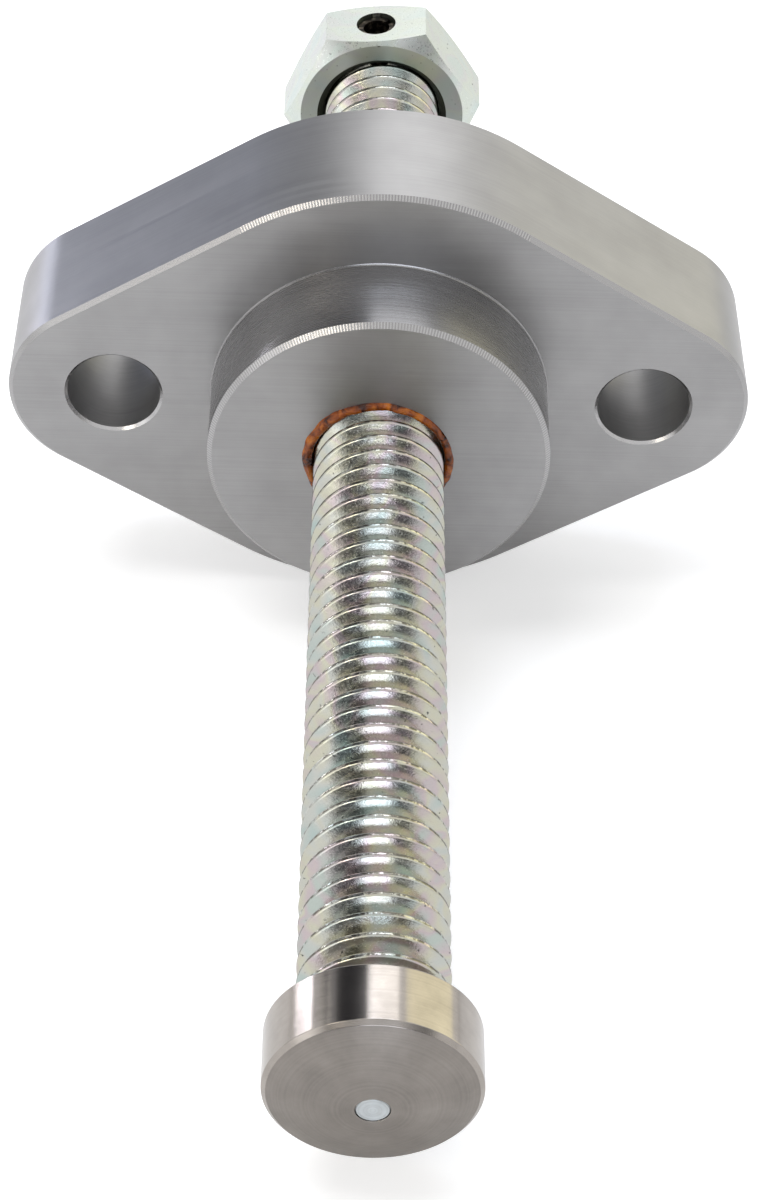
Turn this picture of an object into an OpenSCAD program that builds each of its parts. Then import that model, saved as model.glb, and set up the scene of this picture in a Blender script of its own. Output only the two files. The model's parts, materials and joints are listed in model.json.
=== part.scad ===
// Manual cam chain tensioner for a motorcycle engine.
// A machined aluminium housing bolts to the back of the cylinder block. A threaded
// stud screws through it and pushes a swivel pad against the cam chain guide.
// A pinned nut turns the stud and a lock nut holds its setting.
//
// Every module is drawn in a working frame with its Z axis along the stud, pointing
// at the pad, and with z = 0 on the housing's mounting face. place() turns that
// frame into the part's own one: the pad points along -Y, +Z is up, and X runs
// through the two mounting holes.

/* [Flange] */
// Thickness of the mounting flange
flange_t = 11.2; // [8:0.1:16]
// Radius of the flange's rounded middle
flange_mid_r = 18.4; // [16:0.1:22]
// Radius of the flange's ends, round the mounting holes
flange_end_r = 7.8; // [6:0.1:10]
// Width of the chamfer along the flange's edges
flange_chamfer = 0.4; // [0.2:0.05:0.8]
// Distance between the two mounting holes
bolt_spacing = 39.5; // [38:0.5:50]
// Diameter of a mounting hole
bolt_hole_d = 6.6; // [5.2:0.1:8.6]
// Width of the chamfer at the mouths of a mounting hole
bolt_hole_chamfer = 0.35; // [0.1:0.05:0.6]

/* [Spigot] */
// Diameter of the spigot that enters the cylinder block
spigot_d = 25; // [18:0.1:28]
// Height of the spigot above the mounting face
spigot_h = 7; // [4:0.1:12]
// Width of the chamfer round the spigot's face
spigot_chamfer = 0.35; // [0.1:0.05:0.8]

/* [Thread] */
// Diameter over the crests of the stud's thread, 3/8 inch
thread_d = 9.5; // [8:0.05:11]
// Pitch of the thread, 16 turns to the inch
thread_pitch = 1.5875; // [1.25:0.0125:1.75]
// Width of the flat on each crest, as a share of the pitch
thread_crest = 0.16; // [0.1:0.01:0.2]
// Height of the thread on the stud
thread_depth = 0.9; // [0.7:0.02:1]
// Where a crest starts at the stud's top, from the mounting face towards the pad
thread_phase = 0.02; // [0:0.01:1.58]
// Radial clearance between the crests and the tapped holes
thread_play = 0.08; // [0.05:0.01:0.12]
// Diameter of the countersink at the mouth of a tapped hole
countersink_d = 10.8; // [10.6:0.1:12.5]

/* [Stud] */
// Distance from the mounting face to the end of the thread
stud_reach = 59.3; // [50:0.1:70]
// Distance from the flange's back face to the head nut
stud_tail = 26.4; // [23:0.1:40]
// Width of the chamfer at the ends of the thread
stud_chamfer = 0.5; // [0.3:0.05:0.8]
// How far the stud stands out of the head nut
stud_proud = 0.3; // [0.1:0.1:1]

/* [Swivel pad] */
// Diameter of the pad
pad_d = 13.2; // [12:0.1:18]
// Thickness of the pad at its rim
pad_t = 4.6; // [3.6:0.1:7]
// How far the pad's crowned face stands out over its rim
pad_crown = 1.3; // [0.3:0.1:2]
// Width of the chamfer round the pad's face
pad_chamfer = 0.35; // [0.1:0.05:0.6]
// Diameter of the stud's journal inside the pad
journal_d = 6; // [4.5:0.1:6.5]
// Depth of the journal's bore in the pad
journal_l = 2.6; // [1.5:0.1:3]
// Diameter of the peened tip seen in the middle of the pad
tip_d = 2; // [1.5:0.1:3]
// How far the tip lies below the top of the crowned face
tip_recess = 0.1; // [0.05:0.05:0.3]
// Clearance round the journal and under the pad
pad_play = 0.06; // [0.03:0.01:0.1]

/* [Nuts] */
// Width across the flats of both nuts, 9/16 inch
nut_af = 14.29; // [13:0.01:17]
// Thickness of the pinned head nut
head_nut_t = 5.8; // [5:0.1:8]
// Thickness of the lock nut
lock_nut_t = 5.6; // [4.8:0.1:6.4]
// Diameter of the flat ring on a nut's faces, as a share of the width across flats
nut_face = 0.95; // [0.9:0.01:0.98]
// Slope of the nuts' corner chamfers in degrees
nut_slope = 30; // [20:1:35]
// Turn of the head nut and its pin away from upright in degrees
head_turn = 5.5; // [0:0.5:30]
// Turn of the lock nut away from upright in degrees
lock_turn = 17; // [0:1:30]

/* [Washer] */
// Outer diameter of the sealing washer under the lock nut
washer_d = 16; // [14:0.1:20]
// Thickness of the washer
washer_t = 1.5; // [1:0.05:2.2]
// Width of the chamfers on the washer's rim
washer_edge = 0.15; // [0.05:0.05:0.3]
// Radial clearance between the washer and the stud
washer_play = 0.25; // [0.1:0.05:0.4]

/* [Spring pin] */
// Diameter of the slotted pin through the head nut, 1/8 inch
pin_d = 3.175; // [2:0.025:3.5]
// Wall thickness of the pin
pin_wall = 0.5; // [0.3:0.05:0.7]
// Width of the pin's slot
pin_slot = 0.6; // [0.3:0.05:0.9]
// How far the pin's ends lie below the nut's flats
pin_recess = 0.4; // [0.2:0.05:0.8]
// Turn of the slot about the pin's axis in degrees
pin_turn = 35; // [0:5:90]
// Radial clearance between the pin and its hole
pin_play = 0.02; // [0.01:0.005:0.04]

/* [Sealant] */
// How far the bead of thread sealant stands out of the countersink
sealant_proud = 0.3; // [0.1:0.05:0.5]

/* [Hidden] */
$fn = 64;

machined = [0.66, 0.66, 0.65];
zinc = [0.78, 0.80, 0.78];
turned = [0.62, 0.61, 0.59];
blackened = [0.16, 0.15, 0.14];
amber = [0.55, 0.25, 0.06];

eps = 0.01;
side_sink = 0.02;
// Facets to each turn of the thread
thread_sides = 20;

thread_r = thread_d / 2;
tapped_r = thread_r + thread_play;
countersink_r = countersink_d / 2;
hole_x = bolt_spacing / 2;
side_sin = (flange_mid_r - flange_end_r) / hole_x;
side_cos = sqrt(1 - side_sin * side_sin);
side_tilt = asin(side_sin);
stack_z = -flange_t;
washer_z = stack_z - washer_t;
head_z = stack_z - stud_tail;
head_back_z = head_z - head_nut_t;
stud_end_z = head_back_z - stud_proud;
pin_z = head_z - head_nut_t / 2;
pad_z = stud_reach + pad_play;
pad_rim_z = pad_z + pad_t;
pad_top_z = pad_rim_z + pad_crown;
crown_edge_r = pad_d / 2 - pad_chamfer;
crown_r = (crown_edge_r * crown_edge_r + pad_crown * pad_crown) / (2 * pad_crown);
pin_hole_r = pin_d / 2 + pin_play;
journal_r = journal_d / 2 - pad_play;
tip_r = tip_d / 2;

// Turns the working frame into the part's own frame.
module place() {
    rotate([90, 0, 0]) children();
}

// A solid of revolution about the stud's axis, from points of radius and height.
module turned_shape(profile) {
    rotate_extrude() polygon(profile);
}

// A disc with the same chamfer on both rims.
module chamfered_disc(r, z0, z1, c) {
    turned_shape([[0, z0], [r - c, z0], [r, z0 + c], [r, z1 - c], [r - c, z1], [0, z1]]);
}

// Cutter for a round hole with a chamfer at both mouths.
module hole_cutter(r, z0, z1, c) {
    turned_shape([[0, z0 - 1], [r + c + 1, z0 - 1], [r, z0 + c], [r, z1 - c],
                  [r + c + 1, z1 + 1], [0, z1 + 1]]);
}

// The straight-sided middle of the flange: a slab that ends where its four edges
// meet the rounded corners, with a chamfer along each edge on both faces. Its edges
// lie a hair inside the corners' common tangents, so that they cut them cleanly.
module flange_web() {
    mid = [side_sin, side_cos] * (flange_mid_r - side_sink);
    end = [hole_x, 0] + [side_sin, side_cos] * (flange_end_r - side_sink);
    difference() {
        translate([0, 0, stack_z])
        linear_extrude(height = flange_t)
        polygon([end, mid, [-mid[0], mid[1]], [-end[0], end[1]],
                 -end, -mid, [mid[0], -mid[1]], [end[0], -end[1]]]);
        for (side = [-1, 1], face = [-1, 1], top = [0, 1])
            mirror([0, top, 0])
            rotate([0, 0, -side * side_tilt])
            translate([0, flange_mid_r - side_sink, (face - 1) / 2 * flange_t])
            rotate([45, 0, 0])
            cube([4 * hole_x, flange_chamfer * sqrt(2), flange_chamfer * sqrt(2)], center = true);
    }
}

// Housing: one billet of aluminium, milled all over.
module housing() {
    color(machined)
    difference() {
        union() {
            flange_web();
            chamfered_disc(flange_mid_r, stack_z, 0, flange_chamfer);
            for (side = [-1, 1])
                translate([side * hole_x, 0, 0])
                    chamfered_disc(flange_end_r, stack_z, 0, flange_chamfer);
            spigot();
        }
        for (side = [-1, 1])
            translate([side * hole_x, 0, 0])
                hole_cutter(bolt_hole_d / 2, stack_z, 0, bolt_hole_chamfer);
        hole_cutter(tapped_r, stack_z, spigot_h, countersink_r - tapped_r);
    }
}

// The round spigot on the mounting face.
module spigot() {
    r = spigot_d / 2;
    turned_shape([[0, -1], [r, -1], [r, spigot_h - spigot_chamfer],
                  [r - spigot_chamfer, spigot_h], [0, spigot_h]]);
}

// Bead of dried thread sealant that fills the countersink round the stud.
module thread_sealant() {
    depth = countersink_r - tapped_r;
    inner = tapped_r;
    outer = inner + depth;
    color(amber)
    turned_shape([[inner, spigot_h - depth], [outer, spigot_h],
                  [outer - depth * 0.35, spigot_h + sealant_proud],
                  [inner, spigot_h + sealant_proud]]);
}

// The thread's profile has three corners: where the crest starts, where it ends, the root.
thread_radius = [thread_r, thread_r, thread_r - thread_depth];
thread_rise = [0, thread_crest * thread_pitch, (1 + thread_crest) / 2 * thread_pitch];

// A right-handed screw thread that covers z0 to z1 and runs over at both ends.
// Its points go up the helix in steps, with the three corners of the profile at each.
module thread_blank(z0, z1) {
    n = thread_sides;
    turns = ceil((z1 - z0) / thread_pitch) + 3;
    last = turns * n;
    start = thread_phase + thread_pitch * (floor((z0 - thread_phase) / thread_pitch) - 1.5);
    low = 3 * (last + 1);
    high = low + 1;
    function at(k, m) = 3 * m + k;
    points = concat(
        [for (m = [0 : last]) let (a = 90 + 360 * m / n - 180) for (k = [0 : 2])
            [thread_radius[k] * cos(a), thread_radius[k] * sin(a),
             start + thread_pitch * m / n + thread_rise[k]]],
        [[0, 0, start], [0, 0, start + thread_pitch * turns]]);
    polyhedron(points, concat(
        // The crest and the flank over it
        [for (m = [0 : last - 1]) for (k = [0 : 1]) each
            [[at(k, m), at(k + 1, m), at(k + 1, m + 1)],
             [at(k, m), at(k + 1, m + 1), at(k, m + 1)]]],
        // The flank that leads up to the next turn's crest
        [for (m = [0 : last - 1 - n]) each
            [[at(2, m), at(0, m + n), at(0, m + n + 1)],
             [at(2, m), at(0, m + n + 1), at(2, m + 1)]]],
        // The two ends, each closed to a point on the axis
        [for (m = [0 : n - 1]) [low, at(0, m), at(0, m + 1)]],
        [[low, at(1, 0), at(0, 0)], [low, at(2, 0), at(1, 0)], [low, at(0, n), at(2, 0)]],
        [for (m = [last - n : last - 1]) [high, at(2, m + 1), at(2, m)]],
        [[high, at(0, last), at(1, last)], [high, at(1, last), at(2, last)],
         [high, at(2, last - n), at(0, last)]]));
}

// The threaded part of the stud, chamfered at both ends and drilled for the pin.
module stud_thread() {
    c = stud_chamfer;
    r = thread_r + eps;
    difference() {
        intersection() {
            thread_blank(stud_end_z, stud_reach);
            turned_shape([[0, stud_end_z], [r - c, stud_end_z], [r, stud_end_z + c],
                          [r, stud_reach - c], [r - c, stud_reach], [0, stud_reach]],
                         $fn = 2 * thread_sides);
        }
        pin_place() cylinder(h = nut_af, r = pin_hole_r, center = true, $fn = 24);
    }
}

// Puts a shape drawn along Z on the axis of the pin.
module pin_place() {
    rotate([0, 0, head_turn]) translate([0, 0, pin_z]) rotate([-90, 0, 0]) children();
}

// Adjuster stud: threaded all along, with a plain journal and a thin tip in the pad.
module adjuster_stud() {
    journal_top = pad_z + journal_l - pad_play;
    tip_top = pad_top_z - tip_recess;
    color(zinc) {
        stud_thread();
        turned_shape([[0, stud_reach], [journal_r, stud_reach], [journal_r, journal_top],
                      [tip_r, journal_top], [tip_r, tip_top], [0, tip_top]], $fn = 32);
    }
}

// Swivel pad: turned all over, bored from behind for the journal and drilled for the tip.
module swivel_pad() {
    r = pad_d / 2;
    c = pad_chamfer;
    color(turned)
    difference() {
        intersection() {
            turned_shape([[0, pad_z], [r - c, pad_z], [r, pad_z + c], [r, pad_rim_z - c],
                          [r - c - pad_crown, pad_top_z], [0, pad_top_z + 1]]);
            translate([0, 0, pad_top_z - crown_r]) sphere(r = crown_r, $fn = 120);
        }
        translate([0, 0, pad_z - 1]) cylinder(h = journal_l + 1, r = journal_d / 2);
        translate([0, 0, pad_z]) cylinder(h = pad_t + pad_crown + 1, r = tip_r + pad_play);
    }
}

// A hexagon nut from z0 to z1 with a flat face up and both ends of its corners chamfered.
module hexagon(z0, z1) {
    af = nut_af;
    face_r = nut_face * af / 2;
    corner_r = af / 2 / cos(30) + 1;
    drop = (corner_r - face_r) * tan(nut_slope);
    intersection() {
        translate([0, 0, z0]) cylinder(h = z1 - z0, d = af / cos(30), $fn = 6);
        turned_shape([[0, z0], [face_r, z0], [corner_r, z0 + drop], [corner_r, z1 - drop],
                      [face_r, z1], [0, z1]]);
    }
}

// The tapped hole of a nut, countersunk at both ends.
module nut_bore(z0, z1) {
    hole_cutter(tapped_r, z0, z1, countersink_r - tapped_r);
}

// Head nut: screwed on the stud's outer end and held by the spring pin.
module head_nut() {
    color(zinc)
    difference() {
        rotate([0, 0, head_turn]) hexagon(head_back_z, head_z);
        nut_bore(head_back_z, head_z);
        pin_place() cylinder(h = nut_af + 2, r = pin_hole_r, center = true);
    }
}

// Spring pin: a rolled sleeve with a slot along one side.
module spring_pin() {
    length = nut_af - 2 * pin_recess;
    r = pin_d / 2;
    color(blackened)
    pin_place() rotate([0, 0, pin_turn])
    difference() {
        cylinder(h = length, r = r, center = true);
        cylinder(h = length + 1, r = r - pin_wall, center = true);
        translate([0, -pin_slot / 2, -length]) cube([pin_d, pin_slot, 2 * length]);
    }
}

// Sealing washer: a flat ring that the lock nut clamps on the flange's back.
module sealing_washer() {
    color(machined)
    difference() {
        chamfered_disc(washer_d / 2, washer_z, stack_z, washer_edge);
        translate([0, 0, washer_z - 1]) cylinder(h = washer_t + 2, r = thread_r + washer_play);
    }
}

// Lock nut: screwed along the stud against the sealing washer.
module lock_nut() {
    z0 = washer_z - lock_nut_t;
    color(zinc)
    difference() {
        rotate([0, 0, lock_turn]) hexagon(z0, washer_z);
        nut_bore(z0, washer_z);
    }
}

place() housing();
place() thread_sealant();
place() adjuster_stud();
place() head_nut();
place() spring_pin();
place() swivel_pad();
place() sealing_washer();
place() lock_nut();
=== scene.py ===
"""Manual cam chain tensioner, dressed for a studio photograph.

Lengths in the settings are in metres. The pieces are modelled along +Z, as they would
be turned in a lathe, and stand_up() then lays them along the stud's real axis, -Y.
"""

import json
import math

import bmesh
import bpy
from mathutils import Matrix, Vector, noise


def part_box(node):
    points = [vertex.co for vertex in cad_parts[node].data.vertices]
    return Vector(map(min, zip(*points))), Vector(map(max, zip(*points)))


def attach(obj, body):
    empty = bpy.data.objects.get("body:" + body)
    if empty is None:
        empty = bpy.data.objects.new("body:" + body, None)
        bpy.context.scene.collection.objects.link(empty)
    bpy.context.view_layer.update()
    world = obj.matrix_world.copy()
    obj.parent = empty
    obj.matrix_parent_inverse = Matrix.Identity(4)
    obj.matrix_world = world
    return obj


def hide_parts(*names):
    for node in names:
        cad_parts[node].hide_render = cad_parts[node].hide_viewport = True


bl_info = {
    "name": "Cam chain tensioner",
    "version": (1, 0, 0),
    "blender": (4, 5, 0),
    "location": "View3D > Sidebar > Tensioner",
    "description": "Builds a manual cam chain tensioner and a studio stage for it",
    "category": "Object",
}

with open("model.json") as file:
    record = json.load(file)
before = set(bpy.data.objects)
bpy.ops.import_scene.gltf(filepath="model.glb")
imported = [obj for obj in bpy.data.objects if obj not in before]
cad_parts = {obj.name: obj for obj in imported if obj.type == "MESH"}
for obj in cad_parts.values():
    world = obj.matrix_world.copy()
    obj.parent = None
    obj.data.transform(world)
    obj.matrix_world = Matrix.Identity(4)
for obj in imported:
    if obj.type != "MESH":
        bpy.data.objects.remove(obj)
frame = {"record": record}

MM = 0.001
# From the lathe's axes to the part's own: what points along +Z then points along -Y.
STAND_UP = Matrix(((1, 0, 0, 0), (0, 0, -1, 0), (0, 1, 0, 0), (0, 0, 0, 1)))


def span(node):
    """How far a CAD node reaches along the stud, from its head end to its pad end."""
    low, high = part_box(node)
    return -high[1], -low[1]


def width(node, axis=0):
    """Size of a CAD node along one axis."""
    low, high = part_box(node)
    return high[axis] - low[axis]


WHITE = (1, 1, 1, 1)

# Places along the stud, read from the frame.
FLANGE_BACK, SPIGOT_FACE = span("housing")
STUD_BACK, STUD_TIP = span("adjuster_stud")
PAD_BACK, PAD_FACE = span("swivel_pad")
HEAD_BACK, HEAD_FACE = span("head_nut")
WASHER_BACK, WASHER_FACE = span("sealing_washer")
LOCK_BACK, LOCK_FACE = span("lock_nut")


# -------------------------------- settings


def length(name, description, default):
    """A setting in metres."""
    return bpy.props.FloatProperty(
        name=name,
        description=description,
        default=default,
        min=0.0,
        subtype="DISTANCE",
        unit="LENGTH",
        precision=5,
    )


def angle(name, description, degrees):
    """A setting in radians, given in degrees."""
    return bpy.props.FloatProperty(
        name=name,
        description=description,
        default=math.radians(degrees),
        subtype="ANGLE",
        unit="ROTATION",
    )


def linear(hex_colour):
    """An sRGB hex colour as linear red, green, blue and alpha."""
    channels = [int(hex_colour[i : i + 2], 16) / 255 for i in (1, 3, 5)]
    bent = [c / 12.92 if c <= 0.04045 else ((c + 0.055) / 1.055) ** 2.4 for c in channels]
    return (*bent, 1.0)


def colour(name, description, hex_colour):
    return bpy.props.FloatVectorProperty(
        name=name,
        description=description,
        default=linear(hex_colour),
        size=4,
        min=0.0,
        max=1.0,
        subtype="COLOR",
    )


class HousingSettings(bpy.types.PropertyGroup):
    middle_radius: length(
        "Middle radius", "Radius of the flange's rounded middle", width("housing", 2) / 2
    )
    end_radius: length("End radius", "Radius of the flange's ends", 7.8 * MM)
    hole_spacing: length("Hole spacing", "Distance between the mounting holes", 39.5 * MM)
    hole_radius: length("Hole radius", "Radius of a mounting hole", 3.45 * MM)
    hole_chamfer: length("Hole chamfer", "Chamfer at a mounting hole's mouths", 0.2 * MM)
    edge_chamfer: length("Edge chamfer", "Chamfer along the flange's edges", 0.32 * MM)
    spigot_radius: length("Spigot radius", "Radius of the spigot", 12.5 * MM)
    spigot_chamfer: length("Spigot chamfer", "Chamfer round the spigot's face", 0.35 * MM)
    foot_radius: length("Foot radius", "Corner left by the cutter at the spigot's foot", 0.12 * MM)
    bore_radius: length("Bore radius", "Radius of the tapped hole", 4.83 * MM)
    countersink_radius: length("Countersink radius", "Radius of the tapped hole's mouths", 5.4 * MM)
    metal: colour("Aluminium", "Colour of the milled aluminium", "#a3a2a2")


class StudSettings(bpy.types.PropertyGroup):
    radius: length("Crest radius", "Radius over the thread's crests", 4.75 * MM)
    pitch: length("Pitch", "Distance between the thread's turns", 1.5875 * MM)
    crest_rounding: length("Crest rounding", "Radius of the rolled crests", 0.26 * MM)
    root_rounding: length("Root rounding", "Radius of the thread's root", 0.16 * MM)
    flank: angle("Flank", "Slope of the flanks from square across the stud", 30)
    first_crest: length(
        "First crest", "A crest's place on the upper side, from the mounting face", 6.494 * MM
    )
    end_chamfer: length("End chamfer", "Chamfer at the stud's ends", 0.5 * MM)
    journal_radius: length("Journal radius", "Radius of the plain end in the pad", 2.94 * MM)
    journal_length: length("Journal length", "Length of the plain end in the pad", 2.5 * MM)
    tip_radius: length("Tip radius", "Radius of the peened tip", 1.03 * MM)
    plating: colour("Zinc plate", "Colour of the bright zinc plate", "#d3d4cf")


class PadSettings(bpy.types.PropertyGroup):
    radius: length("Radius", "Radius of the pad", width("swivel_pad") / 2)
    chamfer: length("Chamfer", "Chamfer round the pad's face", 0.28 * MM)
    edge_rounding: length("Edge rounding", "Rounding of the pad's edges", 0.04 * MM)
    crown: length("Crown", "How far the crowned face stands out over its rim", 1.3 * MM)
    bore_radius: length("Bore radius", "Radius of the journal's bore", 3.0 * MM)
    bore_depth: length("Bore depth", "Depth of the journal's bore", 2.6 * MM)
    tip_bore: length("Tip bore", "Radius of the hole for the tip", 1.06 * MM)
    metal: colour("Turned steel", "Colour of the turned steel", "#97918b")


class NutSettings(bpy.types.PropertyGroup):
    across_flats: length("Across flats", "Width across the flats of both nuts", 14.29 * MM)
    face_share: bpy.props.FloatProperty(
        name="Face share",
        description="Diameter of the flat ring on a nut's faces as a share of the width across flats",
        default=0.95,
        min=0.8,
        max=1.0,
    )
    corner_slope: angle("Corner slope", "Slope of the corner chamfers", 30)
    edge_rounding: length("Edge rounding", "Rounding of the nuts' edges", 0.12 * MM)
    bore_radius: length("Bore radius", "Radius of the nuts' bores", 4.83 * MM)
    countersink_radius: length("Countersink radius", "Radius of the bores' mouths", 5.4 * MM)
    head_turn: angle("Head nut's turn", "Turn of the head nut away from upright", 5.5)
    lock_turn: angle("Lock nut's turn", "Turn of the lock nut away from upright", 17)
    plating: colour("Zinc plate", "Colour of the nuts' zinc plate", "#e0e7e1")


class PinSettings(bpy.types.PropertyGroup):
    radius: length("Radius", "Radius of the spring pin", 1.5875 * MM)
    wall: length("Wall", "Wall of the spring pin", 0.5 * MM)
    slot: length("Slot", "Width of the pin's slot", 0.6 * MM)
    recess: length("Recess", "Depth of the pin's ends below the nut's flats", 0.4 * MM)
    slot_turn: angle("Slot's turn", "Turn of the slot about the pin's axis", 35)
    hole_radius: length("Hole radius", "Radius of the pin's hole", 1.62 * MM)
    metal: colour("Black steel", "Colour of the blackened spring steel", "#2b2723")


class SealSettings(bpy.types.PropertyGroup):
    washer_radius: length(
        "Washer radius", "Outer radius of the sealing washer", width("sealing_washer") / 2
    )
    washer_bore: length("Washer bore", "Radius of the washer's hole", 5.0 * MM)
    washer_edge: length("Washer edge", "Chamfers on the washer's rim", 0.15 * MM)
    bead_height: length("Bead height", "How far the sealant stands out of the countersink", 0.3 * MM)
    resin: colour("Sealant", "Colour of the dried sealant", "#8f450b")


class StageSettings(bpy.types.PropertyGroup):
    lens: bpy.props.FloatProperty(
        name="Lens", description="Focal length on a 36 mm sensor, in millimetres", default=87.5, min=1.0
    )
    distance: length("Distance", "From the camera to the point it looks at", 231.3 * MM)
    target: bpy.props.FloatVectorProperty(
        name="Target",
        description="Point that the camera looks at",
        default=(1.4 * MM, 0.0, -20.4 * MM),
        size=3,
        subtype="TRANSLATION",
        unit="LENGTH",
    )
    azimuth: angle("Azimuth", "Turn of the camera round the part", -1.56)
    elevation: angle("Elevation", "Height of the camera over the horizon", 43.2)
    roll: angle("Roll", "Tilt of the camera about its own axis", 2.54)
    floor_gap: length("Floor gap", "How far the floor lies under the flange's face", 0.3 * MM)
    floor_tilt: angle("Floor tilt", "Rise of the floor towards the pad, which all but rests on it", 8)
    floor: colour("Floor", "Colour of the floor", "#e8e8e8")


# -------------------------------- modelling


def spin(bm, geom, steps, sweep=math.tau, centre=(0, 0, 0), rise=0.0, merge=False):
    """Sweeps geometry round a vertical axis, by an angle and by a rise at each step."""
    return bmesh.ops.spin(
        bm,
        geom=geom,
        cent=centre,
        axis=(0, 0, 1),
        dvec=(0, 0, rise),
        angle=sweep,
        steps=steps,
        use_merge=merge,
        use_duplicate=False,
        space=Matrix.Identity(4),
    )["geom_last"]


def lathe(bm, profile, steps=128, closed=True):
    """Spins a profile of (radius, height) points about the Z axis into a closed shell."""
    verts = [bm.verts.new((r, 0, z)) for r, z in profile]
    pairs = list(zip(verts, verts[1:]))
    if closed:
        pairs.append((verts[-1], verts[0]))
    edges = [bm.edges.new(pair) for pair in pairs]
    spin(bm, verts + edges, steps, merge=True)
    bmesh.ops.remove_doubles(bm, verts=bm.verts, dist=0.5e-6)


def stitch(bm, loops):
    """Joins loops of edges, each one to the next."""
    for upper, lower in zip(loops, loops[1:]):
        bmesh.ops.bridge_loops(bm, edges=upper + lower)


def circle(bm, radius, height, steps, centre=(0, 0)):
    """A loop of edges round a vertical axis."""
    made = bmesh.ops.create_circle(
        bm,
        cap_ends=False,
        radius=radius,
        segments=steps,
        matrix=Matrix.Translation((centre[0], centre[1], height)),
    )
    return list({e for v in made["verts"] for e in v.link_edges})


def fill(bm, *loops):
    """A flat face between loops: the first is its rim and the others are holes in it."""
    edges = [e for loop in loops for e in loop]
    bmesh.ops.triangle_fill(bm, use_beauty=True, use_dissolve=False, edges=edges)


def to_object(bm, name):
    """Puts a bmesh into the scene as an object."""
    mesh = bpy.data.meshes.new(name)
    bm.to_mesh(mesh)
    bm.free()
    made = bpy.data.objects.new(name, mesh)
    bpy.context.scene.collection.objects.link(made)
    return made


def body_of(node):
    """The body that the record puts a CAD node in."""
    bodies = frame["record"]["behaviour"]["bodies"]
    return next(body for body, nodes in bodies.items() if node in nodes)


def finish_piece(bm, name, node, materials, pick=None, sharp=30, settle=STAND_UP, bevel=None):
    """Turns a bmesh into a piece that stands for a CAD node and moves with its body.

    pick gives a face's material from its middle and its normal, in the lathe's axes. sharp is
    the angle in degrees from which an edge is a crease, and bevel the rounding of the edges.
    """
    bmesh.ops.recalc_face_normals(bm, faces=bm.faces)
    for face in bm.faces:
        face.smooth = True
        if pick:
            face.material_index = pick(face.calc_center_median(), face.normal)
    bmesh.ops.transform(bm, matrix=settle, verts=bm.verts)
    piece = to_object(bm, name)
    piece.data.set_sharp_from_angle(angle=math.radians(sharp))
    for material in materials:
        piece.data.materials.append(material)
    if bevel:
        rounding = piece.modifiers.new("Edge rounding", "BEVEL")
        rounding.width = bevel
        rounding.segments = 2
        rounding.limit_method = "ANGLE"
        rounding.angle_limit = math.radians(18)
        rounding.harden_normals = True
    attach(piece, body_of(node))
    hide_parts(node)


def carve(bm, cutter):
    """Cuts one bmesh out of another, in millimetres: in metres the solver drops short edges."""
    pieces = []
    for part in (bm, cutter):
        bmesh.ops.recalc_face_normals(part, faces=part.faces)
        bmesh.ops.scale(part, vec=(1000, 1000, 1000), verts=part.verts)
        pieces.append(to_object(part, "carving"))
    cut = pieces[0].modifiers.new("Cut", "BOOLEAN")
    cut.operation = "DIFFERENCE"
    cut.object = pieces[1]
    carved = bmesh.new()
    carved.from_object(pieces[0], bpy.context.evaluated_depsgraph_get())
    if not carved.faces:
        raise RuntimeError("the cut left nothing")
    bmesh.ops.scale(carved, vec=(MM, MM, MM), verts=carved.verts)
    for piece in pieces:
        bpy.data.meshes.remove(piece.data)
    return carved


# -------------------------------- finishes


def add(tree, kind, inputs=None, **settings):
    """Adds a node. inputs maps a socket's name or number to a value or to another socket."""
    made = tree.nodes.new("ShaderNode" + kind)
    for key, value in settings.items():
        setattr(made, key, value)
    for key, value in (inputs or {}).items():
        if isinstance(value, bpy.types.NodeSocket):
            tree.links.new(value, made.inputs[key])
        else:
            made.inputs[key].default_value = value
    return made


def new_material(name):
    """An empty node material and its tree."""
    material = bpy.data.materials.new(name)
    material.use_nodes = True
    material.node_tree.nodes.clear()
    return material, material.node_tree


def output(tree, shader):
    """Sets what a material shows."""
    add(tree, "OutputMaterial", {"Surface": shader})


def calc(tree, operation, *values):
    """A sum on numbers and sockets."""
    return add(tree, "Math", dict(enumerate(values)), operation=operation).outputs[0]


def rescale(tree, value, low, high, to_low=0.0, to_high=1.0):
    """A value moved from one range into another and kept inside it."""
    limits = {"From Min": low, "From Max": high, "To Min": to_low, "To Max": to_high}
    return add(tree, "MapRange", {"Value": value, **limits}).outputs["Result"]


def mix(tree, factor, first, second, **settings):
    """Two colours mixed by a factor."""
    inputs = {"Factor": factor, "A": first, "B": second}
    return add(tree, "Mix", inputs, data_type="RGBA", **settings).outputs["Result"]


def relief(tree, height, strength, depth):
    """A normal that follows a height, which stands for so many metres."""
    inputs = {"Height": height, "Strength": strength, "Distance": depth}
    return add(tree, "Bump", inputs).outputs["Normal"]


def millimetres(tree, stretch=(1, 1, 1)):
    """Object coordinates in millimetres, squeezed along each axis by stretch."""
    place = add(tree, "TexCoord")
    return add(
        tree, "Mapping", {"Vector": place.outputs["Object"], "Scale": [1000 * s for s in stretch]}
    ).outputs["Vector"]


def cloud(tree, scale, detail, stretch=(1, 1, 1), **more):
    """Noise with about so many grains to the millimetre."""
    inputs = {"Vector": millimetres(tree, stretch), "Scale": scale, "Detail": detail, **more}
    return add(tree, "TexNoise", inputs).outputs["Fac"]


def from_axis(tree):
    """Distance from the stud's axis in millimetres."""
    place = add(tree, "SeparateXYZ", {"Vector": millimetres(tree)}).outputs
    across = add(tree, "CombineXYZ", {"X": place["X"], "Y": place["Z"]}).outputs["Vector"]
    return add(tree, "VectorMath", {0: across}, operation="LENGTH").outputs["Value"]


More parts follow.
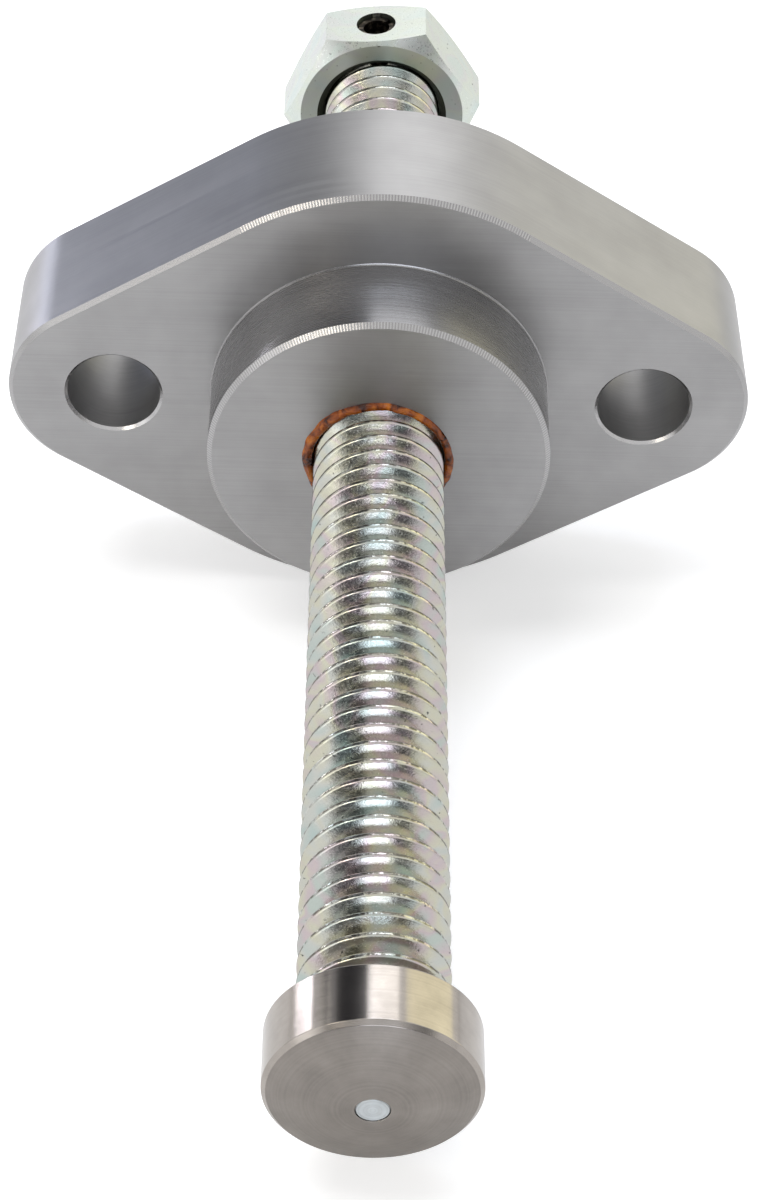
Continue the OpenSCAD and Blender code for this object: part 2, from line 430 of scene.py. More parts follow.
def ramp(tree, factor, *stops):
    """A colour ramp with (position, colour) stops."""
    made = add(tree, "ValToRGB", {"Fac": factor})
    elements = made.color_ramp.elements
    while len(elements) < len(stops):
        elements.new(0.5)
    for element, (position, colour_there) in zip(elements, stops):
        element.position = position
        element.color = colour_there
    return made.outputs["Color"]


def shade(base, factor):
    """A colour made darker or lighter by a factor."""
    return (*[min(1.0, c * factor) for c in base[:3]], 1.0)


def grooved(tree, amount):
    """Inputs that stretch reflections across grooves that run round the stud's axis."""
    tangent = add(tree, "Tangent", direction_type="RADIAL", axis="Y").outputs["Tangent"]
    return {"Anisotropic": amount, "Anisotropic Rotation": 0.25, "Tangent": tangent}


def surface(material, inputs):
    """Ends a material in one shader with these inputs."""
    tree = material.node_tree
    output(tree, add(tree, "BsdfPrincipled", inputs).outputs["BSDF"])
    return material


def milled_aluminium(name, base, grain, rough=0.36, bump=0.25, contrast=0.10, grooves=0.0):
    """Milled aluminium: satin metal whose cutter marks draw a fine grain along one way.

    grain squeezes the pattern: it is small along the marks and large across them.
    """
    material, tree = new_material(name)
    # Cutter marks 0.12 mm apart, as drawn; real ones are finer than the render can show.
    marks = cloud(tree, 1.0, 4.0, grain, Roughness=0.6)
    mixed = calc(tree, "ADD", marks, cloud(tree, 0.22, 3.0))
    tint = ramp(
        tree,
        rescale(tree, mixed, 0.7, 1.3),
        (0.0, shade(base, 1 - contrast)),
        (1.0, shade(base, 1 + contrast)),
    )
    # Specks of dust and pits up to 0.2 mm wide, one in every few square centimetres.
    speck_radius, clean_share = 0.028, 0.72
    cells = add(tree, "TexVoronoi", {"Vector": millimetres(tree), "Scale": 0.3}).outputs
    near = calc(tree, "LESS_THAN", cells["Distance"], speck_radius)
    tone = add(tree, "SeparateColor", {"Color": cells["Color"]}).outputs["Red"]
    chosen = calc(tree, "GREATER_THAN", tone, clean_share)
    tint = mix(tree, calc(tree, "MULTIPLY", near, chosen), tint, shade(base, 0.12))
    finish = {
        "Base Color": tint,
        "Metallic": 1.0,
        "Roughness": rescale(tree, marks, 0.3, 0.7, rough - 0.05, rough + 0.07),
        "Normal": relief(tree, marks, bump, 0.01 * MM),
    }
    if grooves:
        finish.update(grooved(tree, grooves))
    return surface(material, finish)


def ticked_chamfer(name, base, reach, share):
    """Cut chamfer: painted brighter than the faces as painted highlight, with the cutter's chatter
    ticks round the axis.

    reach is the radius in metres at which the ticks are spaced, and share how far along it
    to either side of the middle they go.
    """
    material, tree = new_material(name)
    # From tick to tick along the chamfer, in millimetres.
    spacing = 0.22
    place = add(tree, "SeparateXYZ", {"Vector": millimetres(tree)}).outputs
    turn = calc(tree, "ARCTAN2", place["X"], place["Z"])
    wave = calc(tree, "SINE", calc(tree, "MULTIPLY", turn, 1000 * reach / spacing * math.tau))
    ticked = calc(tree, "LESS_THAN", calc(tree, "ABSOLUTE", place["X"]), 1000 * reach * share)
    wave = calc(tree, "MULTIPLY", wave, ticked)
    height = calc(tree, "MULTIPLY", wave, cloud(tree, 0.5, 3.0))
    tint = ramp(
        tree,
        rescale(tree, height, -0.5, 0.5),
        (0.0, shade(base, 0.86)),
        (1.0, shade(base, 1.3)),
    )
    normal = relief(tree, height, 0.35, 0.02 * MM)
    return surface(
        material, {"Base Color": tint, "Metallic": 1.0, "Roughness": 0.27, "Normal": normal}
    )


def passivated_zinc(name, base, rough, tint_amount, bump, crest=None):
    """Bright zinc plate, passivated: clear metal with a faint oily play of colours and pits.

    crest is the radius in millimetres of a thread's crests, which are painted darker in places as
    painted shade.
    """
    material, tree = new_material(name)
    # Stains a few millimetres wide turn the film yellow, pink and blue-green.
    stain = ramp(
        tree,
        cloud(tree, 0.28, 2.0, Distortion=0.6),
        (0.30, linear("#b9d3d4")),
        (0.42, linear("#dcdcd8")),
        (0.50, linear("#e3dec4")),
        (0.58, linear("#dcc3cf")),
        (0.68, linear("#c6d4d0")),
    )
    tint = mix(tree, tint_amount, WHITE, stain)
    tint = mix(tree, 1.0, tint, base, blend_type="MULTIPLY")
    # Plating grit 0.15 mm wide, with fewer, deeper pits.
    grit = cloud(tree, 6.0, 3.0, Roughness=0.65)
    pits = rescale(tree, cloud(tree, 2.6, 2.0), 0.70, 0.78)
    tint = mix(tree, pits, tint, shade(base, 0.15))
    if crest:
        # The rolled crests are painted darker in patches: painted shade for the dark lines between the
        # thread's turns.
        on_crest = rescale(tree, from_axis(tree), crest - 0.04, crest - 0.01)
        painted_shade = rescale(tree, cloud(tree, 1.9, 4.0, Roughness=0.7), 0.58, 0.46)
        tint = mix(tree, calc(tree, "MULTIPLY", on_crest, painted_shade), tint, linear("#66635a"))
    roughness = rescale(tree, grit, 0.3, 0.7, rough - 0.06, rough + 0.1)
    normal = relief(tree, grit, bump, 0.03 * MM)
    return surface(
        material, {"Base Color": tint, "Metallic": 1.0, "Roughness": roughness, "Normal": normal}
    )


def turned_steel(name, base, rough, rings, bump=0.3, marks=1.0):
    """Turned steel: the tool leaves fine rings, round the axis on a face or round a wall.

    rings is True for a face, where they are concentric, and False for a wall.
    """
    material, tree = new_material(name)
    if rings:
        along = from_axis(tree)
    else:
        along = add(tree, "SeparateXYZ", {"Vector": millimetres(tree)}).outputs["Y"]
    # Tool marks 0.15 mm apart, as a fine noise that varies only across them.
    fine = add(
        tree,
        "TexNoise",
        {"W": calc(tree, "MULTIPLY", along, 6.5), "Scale": 1.0, "Detail": 3.0},
        noise_dimensions="1D",
    ).outputs["Fac"]
    mixed = calc(tree, "MULTIPLY_ADD", fine, marks, cloud(tree, 0.45, 4.0, Roughness=0.6))
    middle = 0.5 * (1 + marks)
    tint = ramp(
        tree,
        rescale(tree, mixed, middle - 0.25, middle + 0.25),
        (0.0, shade(base, 0.85)),
        (1.0, shade(base, 1.15)),
    )
    normal = relief(tree, fine, bump, 0.012 * MM)
    finish = {"Base Color": tint, "Metallic": 1.0, "Roughness": rough, "Normal": normal}
    return surface(material, finish | grooved(tree, 0.6))


def black_spring_steel(name, base):
    """Blackened spring steel: dark, a little oily, rubbed to brown metal in patches."""
    material, tree = new_material(name)
    wear = cloud(tree, 2.2, 4.0)
    tint = ramp(tree, wear, (0.45, base), (0.62, linear("#6b6257")), (0.72, linear("#a59c8c")))
    return surface(material, {"Base Color": tint, "Metallic": 0.9, "Roughness": 0.38})


def dried_sealant(name, base):
    """Dried thread sealant: an amber resin, wrinkled and glossy, in lighter and darker patches."""
    material, tree = new_material(name)
    patches = cloud(tree, 0.8, 5.0, Distortion=1.2)
    wrinkles = cloud(tree, 3.2, 3.0, Distortion=1.4)
    return surface(
        material,
        {
            "Base Color": ramp(
                tree, patches, (0.36, linear("#3a1604")), (0.50, base), (0.66, linear("#bd6c1c"))
            ),
            "Roughness": 0.1,
            "IOR": 1.4,
            "Coat Weight": 0.12,
            "Coat Roughness": 0.05,
            "Normal": relief(tree, wrinkles, 1.0, 0.14 * MM),
        },
    )


# -------------------------------- housing


def corner_arc(bm, centre, radius, start, sweep, steps, height):
    """A chain of vertices round a corner, from an angle in radians and through a sweep."""
    first = bm.verts.new((centre + radius * math.cos(start), radius * math.sin(start), height))
    last = spin(bm, [first], steps, sweep, centre=(centre, 0, height))[0]
    return first, last


def flange_outline(bm, settings, inset, height):
    """The flange's outline at a height: four round corners and the straight sides between."""
    reach = settings.hole_spacing / 2
    tilt = math.asin((settings.middle_radius - settings.end_radius) / reach)
    quarter = math.pi / 2
    before = set(bm.edges)
    corners = [
        (reach, settings.end_radius, -(quarter - tilt), 2 * (quarter - tilt), 40),
        (0, settings.middle_radius, quarter - tilt, 2 * tilt, 44),
        (-reach, settings.end_radius, quarter + tilt, 2 * (quarter - tilt), 40),
        (0, settings.middle_radius, -(quarter + tilt), 2 * tilt, 44),
    ]
    ends = [
        corner_arc(bm, x, radius - inset, start, sweep, steps, height)
        for x, radius, start, sweep, steps in corners
    ]
    for (_, last), (first, _) in zip(ends, ends[1:] + ends[:1]):
        bm.edges.new((last, first))
    return [e for e in bm.edges if e not in before]


# What made each face of the housing, in the order of its materials.
MILLED, SIDE, SPIGOT, BORE, FLANGE_EDGE, SPIGOT_EDGE, HOLE_EDGE = range(7)


class TENSIONER_OT_housing(bpy.types.Operator):
    """Models the housing: a flange and a spigot milled from one billet of aluminium"""

    bl_idname = "tensioner.housing"
    bl_label = "Housing"

    def execute(self, context):
        s = context.scene.tensioner_housing
        bm = bmesh.new()
        back, face = FLANGE_BACK, SPIGOT_FACE
        c = s.edge_chamfer
        rims = [
            flange_outline(bm, s, inset, height)
            for inset, height in ((c, 0), (0, -c), (0, back + c), (c, back))
        ]
        stitch(bm, rims)
        holes_front, holes_back = [], []
        for side in (-1, 1):
            centre = (side * s.hole_spacing / 2, 0)
            r, h = s.hole_radius, s.hole_chamfer
            loops = [
                circle(bm, radius, height, 64, centre)
                for radius, height in ((r + h, 0), (r, -h), (r, back + h), (r + h, back))
            ]
            stitch(bm, loops)
            holes_front.append(loops[0])
            holes_back.append(loops[-1])
        # The spigot's foot, wall, chamfer and face, the countersinks and the bore.
        r, k = s.spigot_radius, s.foot_radius
        sink = s.countersink_radius - s.bore_radius
        rings = [
            (r + k, 0),
            (r + k * 0.3, k * 0.3),
            (r, k),
            (r, face - s.spigot_chamfer),
            (r - s.spigot_chamfer, face),
            (s.countersink_radius, face),
            (s.bore_radius, face - sink),
            (s.bore_radius, back + sink),
            (s.countersink_radius, back),
        ]
        loops = [circle(bm, radius, height, 144) for radius, height in rings]
        stitch(bm, loops)
        fill(bm, rims[0], loops[0], *holes_front)
        fill(bm, rims[-1], loops[-1], *holes_back)

        def pick(middle, normal):
            slanted = 0.1 < abs(normal.z) < 0.9
            from_hole = math.hypot(abs(middle.x) - s.hole_spacing / 2, middle.y)
            past_spigot = math.hypot(middle.x, middle.y) > s.spigot_radius
            if abs(normal.z) > 0.99:
                return MILLED
            if from_hole < s.hole_radius * 1.02 and not slanted:
                return BORE
            if slanted and middle.z > 0.5 * face:
                return SPIGOT_EDGE
            if slanted and middle.z < 0 and past_spigot and from_hole > 1.3 * s.hole_radius:
                return FLANGE_EDGE
            if slanted:
                return HOLE_EDGE
            return SPIGOT if middle.z > 0 else SIDE

        # The spigot's wall and the drilled bores take a darker copy of the aluminium: painted shade.
        metal, painted_shade = tuple(s.metal), shade(s.metal, 0.84)
        finish_piece(
            bm,
            "housing_shell",
            "housing",
            [
                milled_aluminium("aluminium_milled_face", metal, (0.05, 5.0, 8.0)),
                milled_aluminium("aluminium_milled_side", metal, (0.05, 8.0, 0.05)),
                milled_aluminium(
                    "aluminium_turned_spigot",
                    painted_shade,
                    (0.01, 6.0, 0.01),
                    rough=0.25,
                    bump=0.03,
                    contrast=0.05,
                    grooves=0.8,
                ),
                milled_aluminium(
                    "aluminium_drilled_bore",
                    painted_shade,
                    (0.15, 7.0, 0.15),
                    rough=0.5,
                    bump=0.2,
                    contrast=0.15,
                ),
                ticked_chamfer("aluminium_cut_flange_edge", metal, s.middle_radius, 0.56),
                ticked_chamfer("aluminium_cut_spigot_edge", metal, s.spigot_radius, 1.1),
                # The holes' cut edges take a lighter copy of the aluminium: painted highlight.
                milled_aluminium("aluminium_cut_hole_edge", shade(metal, 1.3), (1, 1, 1), rough=0.25),
            ],
            pick=pick,
            sharp=20,
        )
        return {"FINISHED"}


# -------------------------------- stud


def thread_profile(s):
    """One turn of the thread from crest to crest, as (radius, height) points."""
    crest, root, slope = s.crest_rounding, s.root_rounding, s.flank
    tangent = math.pi / 2 - slope
    half = s.pitch / 2
    drop = crest * (1 - math.cos(tangent)) + root * (1 - math.cos(tangent))
    run = half - (crest + root) * math.sin(tangent)
    depth = drop + run / math.tan(slope)
    side = []
    for k in range(5):
        a = tangent * k / 4
        side.append((s.radius - crest * (1 - math.cos(a)), crest * math.sin(a)))
    for k in range(4):
        a = tangent * (1 - k / 3)
        side.append((s.radius - depth + root * (1 - math.cos(a)), half - root * math.sin(a)))
    back = [(r, s.pitch - z) for r, z in reversed(side[:-1])]
    return side + back


def cut_flat(bm, height, side, remove=False):
    """Splits the faces at a height. remove takes away what lies beyond it."""
    bmesh.ops.bisect_plane(
        bm,
        geom=bm.verts[:] + bm.edges[:] + bm.faces[:],
        dist=1e-7,
        plane_co=(0, 0, height),
        plane_no=(0, 0, side),
        clear_outer=remove,
    )


def screw_thread(bm, s, low, high, steps=64):
    """A right-handed screw thread between two heights, chamfered and capped at both ends."""
    start = s.first_crest + s.pitch * (math.floor((low - s.first_crest) / s.pitch) - 1.5)
    turns = math.ceil((high - start) / s.pitch) + 1
    verts = [bm.verts.new((0, -r, start + z)) for r, z in thread_profile(s)]
    edges = [bm.edges.new(pair) for pair in zip(verts, verts[1:])]
    spin(bm, verts + edges, steps, rise=s.pitch / steps)
    first_turn = bm.verts[:] + bm.edges[:] + bm.faces[:]
    for turn in range(1, turns):
        copy = bmesh.ops.duplicate(bm, geom=first_turn)["geom"]
        copied = [g for g in copy if isinstance(g, bmesh.types.BMVert)]
        bmesh.ops.translate(bm, verts=copied, vec=(0, 0, turn * s.pitch))
    bmesh.ops.remove_doubles(bm, verts=bm.verts, dist=2e-6)
    c = s.end_chamfer
    for height, side in ((low, -1), (high, 1)):
        cut_flat(bm, height - side * c, side)
        cut_flat(bm, height, side, remove=True)
        for v in bm.verts:
            reach = math.hypot(v.co.x, v.co.y)
            allowed = s.radius - c + side * (height - v.co.z)
            if reach > allowed > 0 and abs(height - v.co.z) <= c + 1e-7:
                v.co.x *= allowed / reach
                v.co.y *= allowed / reach
        level = {v for v in bm.verts if abs(v.co.z - height) < 1e-6}
        rim = [e for e in bm.edges if e.is_boundary and level.issuperset(e.verts)]
        bmesh.ops.edgeloop_fill(bm, edges=rim)


class TENSIONER_OT_stud(bpy.types.Operator):
    """Models the adjuster stud: a zinc-plated screw with a plain end that turns in the pad"""

    bl_idname = "tensioner.stud"
    bl_label = "Adjuster stud"

    def execute(self, context):
        s = context.scene.tensioner_stud
        bm = bmesh.new()
        # The thread ends just short of the pad, and the plain end reaches a little into it.
        end = PAD_BACK - 0.06 * MM
        overlap, tip_chamfer = 0.2 * MM, 0.08 * MM
        screw_thread(bm, s, STUD_BACK, end)
        bm = carve(bm, pin_hole(context))
        journal = end + s.journal_length
        lathe(
            bm,
            [
                (0, end - overlap),
                (s.journal_radius, end - overlap),
                (s.journal_radius, journal),
                (s.tip_radius, journal),
                (s.tip_radius, STUD_TIP - tip_chamfer),
                (s.tip_radius - tip_chamfer, STUD_TIP),
                (0, STUD_TIP),
            ],
            steps=48,
            closed=False,
        )
        finish_piece(
            bm,
            "stud_screw",
            "adjuster_stud",
            [
                passivated_zinc(
                    "zinc_passivated_thread",
                    tuple(s.plating),
                    rough=0.185,
                    tint_amount=0.7,
                    bump=0.3,
                    crest=s.radius / MM,
                ),
                turned_steel("steel_peened_tip", linear("#c4c9cb"), 0.5, True, bump=0.1),
            ],
            pick=lambda middle, normal: 1 if middle.z > journal else 0,
            sharp=40,
        )
        return {"FINISHED"}


# -------------------------------- pad


def pad_pick(middle, normal):
    """Rings on the face, a wall painted brighter as painted highlight, and a cut rim between them."""
    if abs(normal.z) > 0.9:
        return 0
    return 1 if abs(normal.z) < 0.1 else 2


class TENSIONER_OT_pad(bpy.types.Operator):
    """Models the swivel pad: a turned steel button that presses on the chain guide"""

    bl_idname = "tensioner.pad"
    bl_label = "Swivel pad"

    def execute(self, context):
        s = context.scene.tensioner_pad
        low, rim, r, c = PAD_BACK, PAD_FACE - s.crown, s.radius, s.chamfer
        # The face is part of a ball that runs from the rim to the top of the crown.
        ball = ((r - c) ** 2 + s.crown**2) / (2 * s.crown)
        reaches = [s.tip_bore + (r - c - s.tip_bore) * k / 12 for k in range(12, -1, -1)]
        face = [(x, PAD_FACE - ball + math.sqrt(ball**2 - x**2)) for x in reaches]
        bm = bmesh.new()
        lathe(
            bm,
            [
                (s.bore_radius, low),
                (r - c, low),
                (r, low + c),
                (r, rim - c),
                *face,
                (s.tip_bore, low + s.bore_depth),
                (s.bore_radius, low + s.bore_depth),
            ],
            steps=160,
        )
        metal = tuple(s.metal)
        finish_piece(
            bm,
            "pad_button",
            "swivel_pad",
            [
                # The face is a darker copy of the turned steel, painted shade, and the wall and the rim
                # are lighter copies, painted highlight.
                turned_steel("steel_turned_face", shade(metal, 0.86), 0.4, True, marks=0.35),
                turned_steel("steel_turned_wall", shade(metal, 1.27), 0.16, False, bump=0.1, marks=0.3),
                turned_steel("steel_cut_rim", shade(metal, 1.2), 0.24, False, bump=0.0, marks=0.0),
            ],
            pick=pad_pick,
            sharp=16,
            bevel=s.edge_rounding,
        )
        return {"FINISHED"}


# -------------------------------- nuts


def hexagon_nut(s, low, high, turn):
    """A nut between two heights: turned as a round blank, then pressed out to a hexagon."""
    bm = bmesh.new()
    flat = s.across_flats / 2
    ring = flat * s.face_share
    sink = s.countersink_radius - s.bore_radius
    lathe(
        bm,
        [
            (s.bore_radius, low + sink),
            (s.countersink_radius, low),
            (ring, low),
            (flat, low),
            (flat, high),
            (ring, high),
            (s.countersink_radius, high),
            (s.bore_radius, high - sink),
        ],
        steps=144,
    )
    for v in bm.verts:
        if math.hypot(v.co.x, v.co.y) > (flat + ring) / 2:
            around = math.atan2(v.co.y, v.co.x)
            reach = flat / math.cos(around % (math.pi / 3) - math.pi / 6)
            drop = (reach - ring) * math.tan(s.corner_slope)
            height = low + drop if v.co.z < (low + high) / 2 else high - drop
            v.co = (reach * math.cos(around), reach * math.sin(around), height)
    bmesh.ops.rotate(bm, verts=bm.verts, matrix=Matrix.Rotation(turn, 3, "Z"))
    return bm


def nut_pick(middle, normal):
    """Plated flats and chamfers, a face ring painted greyer as painted shade, and a bore painted dark
    as painted shade.
    """
    if abs(normal.z) > 0.98:
        return 1
    outward = middle.x * normal.x + middle.y * normal.y
    return 2 if outward < 0 else 0


class TENSIONER_OT_nuts(bpy.types.Operator):
    """Models the pinned head nut and the lock nut"""

    bl_idname = "tensioner.nuts"
    bl_label = "Nuts"

    def execute(self, context):
        s = context.scene.tensioner_nuts
        plating = tuple(s.plating)
        # The face ring is a darker copy of the plating, and the bore is painted dark: both are painted
        # shade.
        face = shade(plating, 0.76)
        finish = [
            passivated_zinc("zinc_passivated_nut", plating, rough=0.3, tint_amount=0.25, bump=0.15),
            passivated_zinc("zinc_nut_face_shaded", face, rough=0.34, tint_amount=0.3, bump=0.25),
            turned_steel("steel_tapped_bore_shaded", linear("#5c6158"), 0.4, False),
        ]
        head = carve(hexagon_nut(s, HEAD_BACK, HEAD_FACE, s.head_turn), pin_hole(context))
        lock = hexagon_nut(s, LOCK_BACK, LOCK_FACE, s.lock_turn)
        for bm, name, node in ((head, "head_hexagon", "head_nut"), (lock, "lock_hexagon", "lock_nut")):
            finish_piece(
                bm, name, node, finish, pick=nut_pick, sharp=20, bevel=s.edge_rounding
            )
        return {"FINISHED"}


# -------------------------------- pin


def pin_place(nuts):
    """Lays what stands on Z along the spring pin's axis, across the head nut."""
    middle = (HEAD_BACK + HEAD_FACE) / 2
    return (
        Matrix.Rotation(nuts.head_turn, 4, "Z")
        @ Matrix.Translation((0, 0, middle))
        @ Matrix.Rotation(-math.pi / 2, 4, "X")
    )


def pin_hole(context):
    """What the spring pin's hole takes out of the head nut and of the stud."""
    radius = context.scene.tensioner_pin.hole_radius
    nuts = context.scene.tensioner_nuts
    hole = bmesh.new()
    bmesh.ops.create_cone(
        hole,
        cap_ends=True,
        segments=64,
        radius1=radius,
        radius2=radius,
        depth=1.2 * nuts.across_flats,
        matrix=pin_place(nuts),
    )
    return hole


class TENSIONER_OT_pin(bpy.types.Operator):
    """Models the spring pin: a rolled steel sleeve with a slot along one side"""

    bl_idname = "tensioner.pin"
    bl_label = "Spring pin"

    def execute(self, context):
        s = context.scene.tensioner_pin
        nuts = context.scene.tensioner_nuts
        half = nuts.across_flats / 2 - s.recess
        edge = 0.1 * MM
        inner, outer = s.radius - s.wall, s.radius
        bm = bmesh.new()
        profile = [
            (inner, -half),
            (outer - edge, -half),
            (outer, -half + edge),
            (outer, half - edge),
            (outer - edge, half),
            (inner, half),
        ]
        gap = s.slot / s.radius
        section = bm.faces.new([bm.verts.new((r, 0, z)) for r, z in profile])
        bmesh.ops.rotate(
            bm,
            verts=section.verts[:],
            cent=(0, 0, 0),
            matrix=Matrix.Rotation(s.slot_turn + gap / 2, 3, "Z"),
        )
        spin(bm, section.verts[:] + section.edges[:] + [section], 60, math.tau - gap)
        finish_piece(
            bm,
            "pin_sleeve",
            "spring_pin",
            [black_spring_steel("steel_blackened_pin", tuple(s.metal))],
            settle=STAND_UP @ pin_place(nuts),
        )
        return {"FINISHED"}


# -------------------------------- seals


class TENSIONER_OT_seals(bpy.types.Operator):
    """Models the sealing washer and the bead of dried thread sealant"""

    bl_idname = "tensioner.seals"
    bl_label = "Washer and sealant"

    def execute(self, context):
        s = context.scene.tensioner_seals
        housing = context.scene.tensioner_housing
        low, high, c = WASHER_BACK, WASHER_FACE, s.washer_edge
        bm = bmesh.new()
        lathe(
            bm,
            [
                (s.washer_bore, low),
                (s.washer_radius - c, low),
                (s.washer_radius, low + c),
                (s.washer_radius, high - c),
                (s.washer_radius - c, high),
                (s.washer_bore, high),
            ],
            steps=96,
        )
        finish_piece(
            bm,
            "washer_ring",
            "sealing_washer",
            [turned_steel("aluminium_soft_washer", linear("#b9b9b7"), 0.35, True)],
        )
        # The bead starts as a half-round ring in the countersink and is then pushed about,
        # by waves about as long as grain, and where it was heaped up.
        grain, wave_height, wave_width = 0.9 * MM, 0.16 * MM, 0.12 * MM
        heap_height, heap_width = 0.12 * MM, 0.2 * MM
        bm = bmesh.new()
        inner, outer = housing.bore_radius, housing.countersink_radius
        middle, half = (inner + outer) / 2, (outer - inner) / 2
        slants = [math.pi * k / 8 for k in range(9)]
        crown = [
            (middle + half * math.cos(a), SPIGOT_FACE + s.bead_height * math.sin(a)) for a in slants
        ]
        lathe(bm, [*crown, (inner, SPIGOT_FACE - (outer - inner))], steps=180)
        for v in bm.verts:
            if v.co.z > SPIGOT_FACE - 0.01 * MM:
                place = v.co / grain
                lift = noise.fractal(place, 0.7, 2.0, 3)
                spread = noise.fractal(place * 0.6 + Vector((7, 3, 1)), 0.7, 2.0, 2)
                out = math.hypot(v.co.x, v.co.y)
                # More of it was squeezed out up and to the left.
                heap = max(0.0, (0.5 * v.co.y - 0.866 * v.co.x) / out) ** 2
                risen = (v.co.z - SPIGOT_FACE) / s.bead_height
                v.co.z += (wave_height * lift + heap_height * heap) * risen
                aside = max(0.0, (out - inner) / (outer - inner))
                grow = 1 + (wave_width * spread + heap_width * heap) * aside / out
                v.co.x *= grow
                v.co.y *= grow
        finish_piece(
            bm,
            "sealant_bead",
            "thread_sealant",
            [dried_sealant("sealant_amber_resin", tuple(s.resin))],
            sharp=60,
        )
        return {"FINISHED"}


# -------------------------------- stage


def shown_to(tree, camera, glossy):
    """A strength that is camera where the camera looks, glossy in reflections and 0 elsewhere."""
    path = add(tree, "LightPath").outputs
    direct = calc(tree, "MULTIPLY", path["Is Camera Ray"], camera)
    mirrored = calc(tree, "MAXIMUM", path["Is Glossy Ray"], path["Is Transmission Ray"])
    return calc(tree, "MULTIPLY_ADD", mirrored, glossy, direct)


def white_paper(name, white, camera, glossy):
    """Paper that takes shadows and glows by itself in the picture and in reflections."""
    material, tree = new_material(name)
    plain = add(tree, "BsdfDiffuse", {"Color": white})
    light = add(tree, "Emission", {"Color": WHITE, "Strength": shown_to(tree, camera, glossy)})
    both = add(tree, "AddShader", {0: plain.outputs["BSDF"], 1: light.outputs["Emission"]})
    output(tree, both.outputs["Shader"])
    return material


def aim(away, distance):
    """Puts a lamp or card at a direction and distance from the part, facing it.

    away is (turn from +Y towards +X, height over the horizon) in degrees.
    """
    centre = Vector((0, -0.02, 0))
    turn, rise = map(math.radians, away)
    out = Vector((math.sin(turn) * math.cos(rise), math.cos(turn) * math.cos(rise), math.sin(rise)))
    look = out.to_track_quat("Z", "Y").to_matrix().to_4x4()
    return Matrix.Translation(centre + out * distance) @ look


def sheet(name, size, place, material):
    """A flat sheet of the stage, laid in its place by a matrix."""
    bm = bmesh.new()
    bmesh.ops.create_grid(bm, x_segments=1, y_segments=1, size=0.5)
    bmesh.ops.scale(bm, vec=(*size, 1), verts=bm.verts)
    bmesh.ops.transform(bm, matrix=place, verts=bm.verts)
    made = to_object(bm, name)
    made.data.materials.append(material)
    return made


def softbox(name, away, distance, size, radiance, tint="#ffffff"):
    """An area lamp of a given brightness that the camera itself doesn't see."""
    data = bpy.data.lights.new(name, "AREA")
    data.shape = "RECTANGLE"
    data.size, data.size_y = size
    # Watts that make a one-sided lamp of this area shine with the radiance.
    data.energy = 4 * radiance * size[0] * size[1]
    data.color = linear(tint)[:3]
    lamp = bpy.data.objects.new(name, data)
    lamp.visible_camera = False
    lamp.matrix_world = aim(away, distance)
    bpy.context.scene.collection.objects.link(lamp)
    return lamp


def card(name, away, distance, size, tint, strength=1.0):
    """A card that only reflections see, so that the metal gets dark bands beside bright ones."""
    material, tree = new_material(name)
    light = add(tree, "Emission", {"Color": linear(tint), "Strength": strength})
    output(tree, light.outputs["Emission"])
    board = sheet(name, size, aim(away, distance), material)
    board.visible_camera = False
    board.visible_diffuse = False
    board.visible_shadow = False
    board.visible_transmission = False


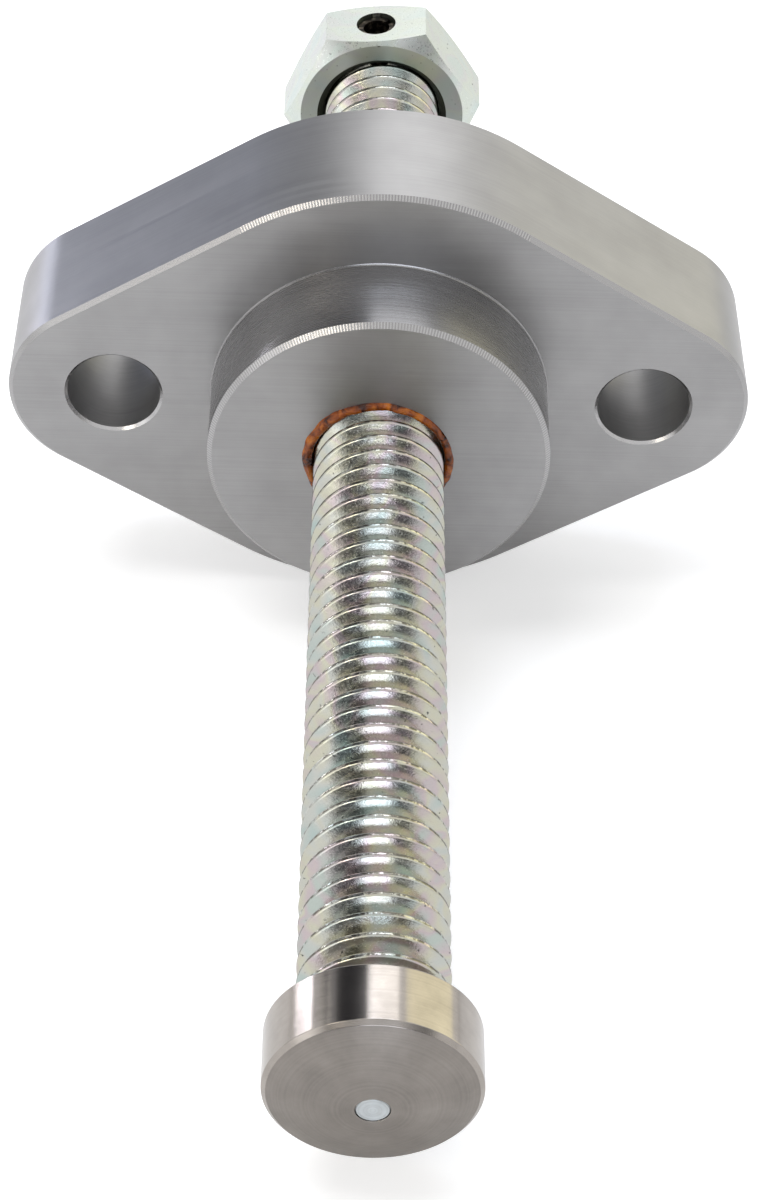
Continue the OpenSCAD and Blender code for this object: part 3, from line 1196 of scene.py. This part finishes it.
class TENSIONER_OT_stage(bpy.types.Operator):
    """Sets the camera, the floor, the lamps and the white surroundings"""

    bl_idname = "tensioner.stage"
    bl_label = "Stage"

    def execute(self, context):
        s = context.scene.tensioner_stage
        scene = context.scene
        # Camera
        lens = bpy.data.cameras.new("camera")
        lens.sensor_width = 36
        lens.lens = s.lens
        lens.clip_start, lens.clip_end = 0.01, 10
        camera = bpy.data.objects.new("camera", lens)
        scene.collection.objects.link(camera)
        back = Vector(
            (
                math.sin(s.azimuth) * math.cos(s.elevation),
                -math.cos(s.azimuth) * math.cos(s.elevation),
                math.sin(s.elevation),
            )
        )
        right = (-back).cross(Vector((0, 0, 1))).normalized()
        up = right.cross(-back)
        turned_right = math.cos(s.roll) * right + math.sin(s.roll) * up
        turned_up = -math.sin(s.roll) * right + math.cos(s.roll) * up
        look = Matrix((turned_right, turned_up, back)).transposed().to_4x4()
        camera.matrix_world = Matrix.Translation(Vector(s.target) + back * s.distance) @ look
        scene.camera = camera
        # Floor
        low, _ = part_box("housing")
        level = Matrix.Translation((0, 0, low[2] - s.floor_gap))
        tilt = Matrix.Rotation(-s.floor_tilt, 4, "X")
        paper = white_paper("floor_white_paper", tuple(s.floor), camera=0.48, glossy=0.18)
        floor = sheet("floor", (3, 3), level @ tilt, paper)
        # Surroundings
        world = bpy.data.worlds.new("white_room")
        scene.world = world
        world.use_nodes = True
        tree = world.node_tree
        tree.nodes.clear()
        # White to the camera and in reflections, and dimmer as a light on the pieces.
        dim = 0.45
        power = calc(tree, "ADD", shown_to(tree, 1 - dim, 1 - dim), dim)
        sky = add(tree, "Background", {"Color": WHITE, "Strength": power})
        add(tree, "OutputWorld", {"Surface": sky.outputs["Background"]})
        # Lamps and cards: where from, how far, width and height in metres, brightness and tint
        softbox("softbox_back", (11, 49), 0.5, (0.23, 0.31), 0.95)
        softbox("softbox_low_front", (175, 13), 0.5, (0.21, 0.25), 2.9, "#eef4ff")
        softbox("softbox_left_front", (-129, 10), 0.5, (0.24, 0.3), 0.8)
        softbox("strip_left", (-51, 7), 0.5, (0.025, 0.16), 13.0, "#f4f2ff")
        softbox("softbox_top", (17, 68), 0.5, (0.24, 0.1), 5.0, "#e6eeff")
        key = softbox("key", (-88, 73), 0.5, (0.24, 0.24), 4.6)
        key.visible_glossy = False
        softbox("strip_edges", (-136, 41), 0.5, (0.17, 0.07), 4.5, "#fff6e6")
        softbox("strip_end", (-38, 0), 0.5, (0.05, 0.06), 3.4, "#dfe6ff")
        card("card_right", (66, 25), 0.6, (0.55, 0.5), "#fcf7da", 1.72)
        card("card_top_left", (-95, 58), 0.5, (0.3, 0.3), "#303134")
        card("card_left_high", (-30, 46), 0.55, (0.27, 0.44), "#929499")
        card("card_left_dark", (-26, 46), 0.5, (0.24, 0.14), "#2e3034")
        card("card_left_edge", (-44.5, 24), 0.48, (0.07, 0.14), "#4a4b50")
        card("card_left_low", (-32, 10), 0.6, (0.36, 0.24), "#a8afc2")
        card("card_front", (180, 14), 0.62, (1.1, 0.44), "#4e4f52")
        scene.view_settings.view_transform = "Standard"
        return {"FINISHED"}


# -------------------------------- panel


class TENSIONER_PT_parts(bpy.types.Panel):
    """Lists the steps that build the tensioner"""

    bl_label = "Cam chain tensioner"
    bl_space_type = "VIEW_3D"
    bl_region_type = "UI"
    bl_category = "Tensioner"

    def draw(self, context):
        for step in STEPS:
            self.layout.operator(step.bl_idname)


SETTINGS = {
    "tensioner_housing": HousingSettings,
    "tensioner_stud": StudSettings,
    "tensioner_pad": PadSettings,
    "tensioner_nuts": NutSettings,
    "tensioner_pin": PinSettings,
    "tensioner_seals": SealSettings,
    "tensioner_stage": StageSettings,
}
STEPS = (
    TENSIONER_OT_stage,
    TENSIONER_OT_housing,
    TENSIONER_OT_stud,
    TENSIONER_OT_pad,
    TENSIONER_OT_nuts,
    TENSIONER_OT_pin,
    TENSIONER_OT_seals,
)


def register():
    for cls in (*SETTINGS.values(), *STEPS, TENSIONER_PT_parts):
        bpy.utils.register_class(cls)
    for name, cls in SETTINGS.items():
        setattr(bpy.types.Scene, name, bpy.props.PointerProperty(type=cls))


def unregister():
    for name in SETTINGS:
        delattr(bpy.types.Scene, name)
    for cls in reversed((*SETTINGS.values(), *STEPS, TENSIONER_PT_parts)):
        bpy.utils.unregister_class(cls)


def main():
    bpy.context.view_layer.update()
    register()
    for step in STEPS:
        group, name = step.bl_idname.split(".")
        getattr(getattr(bpy.ops, group), name)()


if __name__ == "__main__":
    main()
